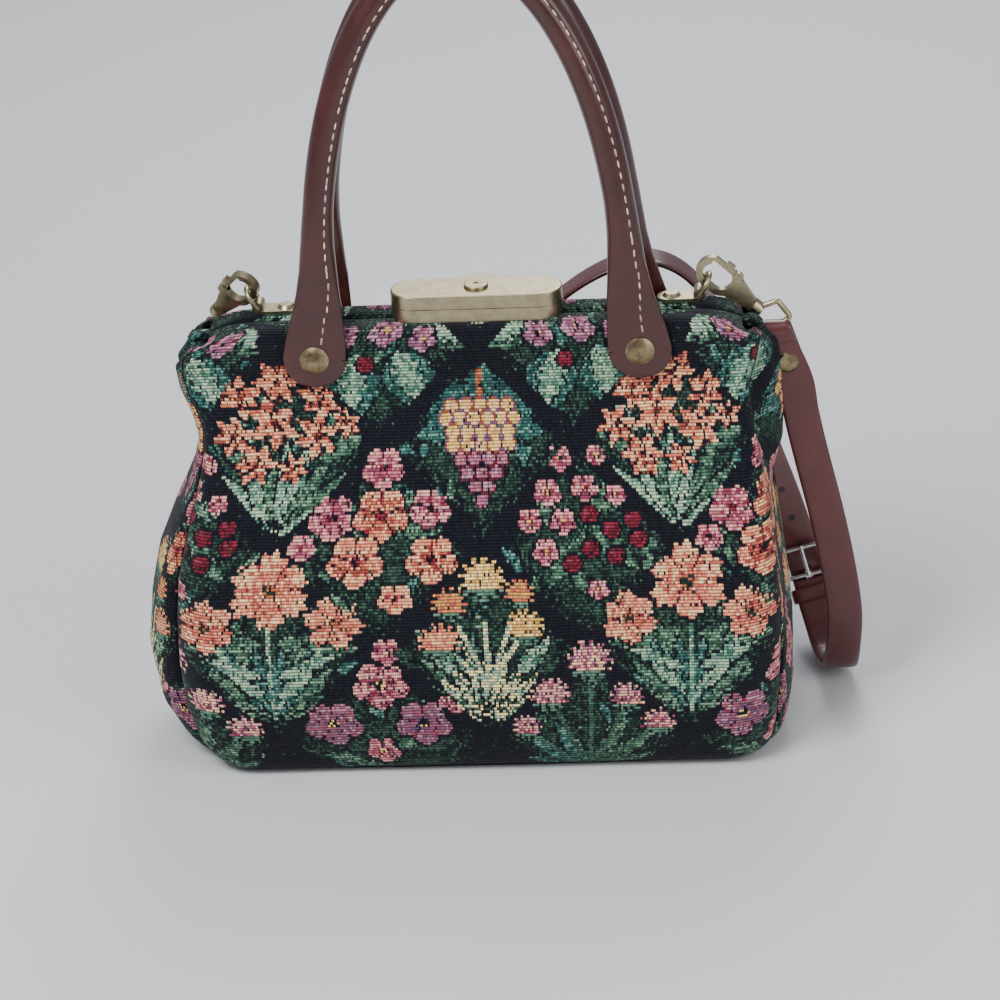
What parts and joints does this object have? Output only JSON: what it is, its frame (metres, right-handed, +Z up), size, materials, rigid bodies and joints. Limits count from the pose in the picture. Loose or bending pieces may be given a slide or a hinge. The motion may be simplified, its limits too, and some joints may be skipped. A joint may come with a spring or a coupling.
{
  "type": "carpet bag",
  "caption": "Small carpet bag: tapestry body on a hinged steel frame, two rolled leather handles, push lock on top and a buckled shoulder strap on snap hooks",
  "frame": {"origin": "the middle of the flat base the bag stands on", "axes": "+X to the bag's right seen from the front, +Y to the back, +Z up to the handles"},
  "size_m": [0.2918, 0.1377, 0.3537],
  "materials": {
    "lining_cotton": "plain cotton",
    "tapestry": "woven floral tapestry",
    "board": "grey board",
    "steel": "zinc plated",
    "cord_core": "twisted cotton",
    "handle_leather": "waxed, dark wine",
    "strap_leather": "waxed, burgundy",
    "nickel": "polished nickel",
    "antique_brass": "antique brass"
  },
  "bodies": {
    "root": {"base_board": "board", "base_panel": "tapestry", "buckle_frame": "nickel", "front_panel": "tapestry", "hinge_pin_left": "steel", "hinge_pin_right": "steel", "left_gusset": "tapestry", "left_lug": "antique_brass", "left_lug_rivet": "antique_brass", "left_swivel_loop": "antique_brass", "lining_floor": "lining_cotton", "lining_front": "lining_cotton", "lining_left": "lining_cotton", "lining_rear": "lining_cotton", "lining_right": "lining_cotton", "rear_handle_foot_left": "handle_leather", "rear_handle_foot_right": "handle_leather", "rear_handle_rivets": "antique_brass", "rear_panel": "tapestry", "rear_rail": "steel", "rear_rivet_washers": "steel", "right_gusset": "tapestry", "right_lug": "antique_brass", "right_lug_rivet": "antique_brass", "right_swivel_loop": "antique_brass", "strap_buckle_side": "strap_leather", "strap_hole_side": "strap_leather", "strap_keeper": "strap_leather", "strap_rivets": "antique_brass", "strike_plate": "antique_brass", "strike_screws": "antique_brass"},
    "front_jaw": {"front_panel_top": "tapestry", "front_rail": "steel", "front_handle_foot_left": "handle_leather", "front_handle_foot_right": "handle_leather", "front_handle_rivets": "antique_brass", "front_rivet_washers": "steel", "lock_case": "antique_brass", "lock_cover": "antique_brass", "lock_spring": "steel", "lock_screws": "antique_brass"},
    "front_handle": {"front_handle": "handle_leather", "front_handle_core": "cord_core"},
    "rear_handle": {"rear_handle": "handle_leather", "rear_handle_core": "cord_core"},
    "lock_button": {"lock_button": "antique_brass", "lock_latch": "antique_brass"},
    "left_ring": {"left_ring": "antique_brass"},
    "right_ring": {"right_ring": "antique_brass"},
    "left_hook": {"left_hook": "antique_brass", "left_gate_pin": "antique_brass"},
    "right_hook": {"right_hook": "antique_brass", "right_gate_pin": "antique_brass"},
    "left_gate": {"left_hook_gate": "antique_brass"},
    "right_gate": {"right_hook_gate": "antique_brass"},
    "buckle_prong": {"buckle_prong": "nickel"}
  },
  "joints": [
    {"name": "jaw_hinge", "type": "hinge", "parent": "root", "child": "front_jaw", "pos_m": [0, 0, 0.13], "axis": [1, 0, 0], "range_deg": [0, 60]},
    {"name": "front_handle_fold", "type": "hinge", "parent": "front_jaw", "child": "front_handle", "pos_m": [0, -0.017, 0.1984], "axis": [1, 0, 0], "range_deg": [0, 95]},
    {"name": "rear_handle_fold", "type": "hinge", "parent": "root", "child": "rear_handle", "pos_m": [0, 0.017, 0.1984], "axis": [-1, 0, 0], "range_deg": [0, 30]},
    {"name": "lock_press", "type": "slide", "parent": "front_jaw", "child": "lock_button", "axis": [0, 0, -1], "range_m": [0, 0.0013], "stiffness_N_per_m": 400, "springref_m": -0.001, "deforming": ["lock_spring"]},
    {"name": "left_ring_swing", "type": "hinge", "parent": "root", "child": "left_ring", "pos_m": [-0.0915, 0.00825, 0.1909], "axis": [0, 1, 0], "range_deg": [-1.5, 2]},
    {"name": "right_ring_swing", "type": "hinge", "parent": "root", "child": "right_ring", "pos_m": [0.0915, 0.00825, 0.1909], "axis": [0, 1, 0], "range_deg": [-4, 5]},
    {"name": "left_hook_swivel", "type": "hinge", "parent": "root", "child": "left_hook", "pos_m": [-0.11025, 0.02057, 0.184], "axis": [-0.5496, 0.4997, -0.6695], "range_deg": [-1.5, 2]},
    {"name": "right_hook_swivel", "type": "hinge", "parent": "root", "child": "right_hook", "pos_m": [0.11434, 0.00825, 0.18358], "axis": [0.722, 0, -0.6919], "range_deg": [-6, 6]},
    {"name": "left_gate_press", "type": "hinge", "parent": "left_hook", "child": "left_gate", "pos_m": [-0.10662, 0.01392, 0.19675], "axis": [0.3627, 0.8647, 0.3476], "range_deg": [0, 14], "stiffness_Nm_per_rad": 0.002, "springref_deg": -2.86},
    {"name": "right_gate_press", "type": "hinge", "parent": "right_hook", "child": "right_gate", "pos_m": [0.10801, 0.00825, 0.19699], "axis": [0, -1, 0], "range_deg": [0, 14], "stiffness_Nm_per_rad": 0.002, "springref_deg": -2.86},
    {"name": "prong_swing", "type": "hinge", "parent": "root", "child": "buckle_prong", "pos_m": [0.13329, 0.06252, 0.03087], "axis": [0.9718, 0.0251, 0.2343], "range_deg": [0, 45]}
  ]
}
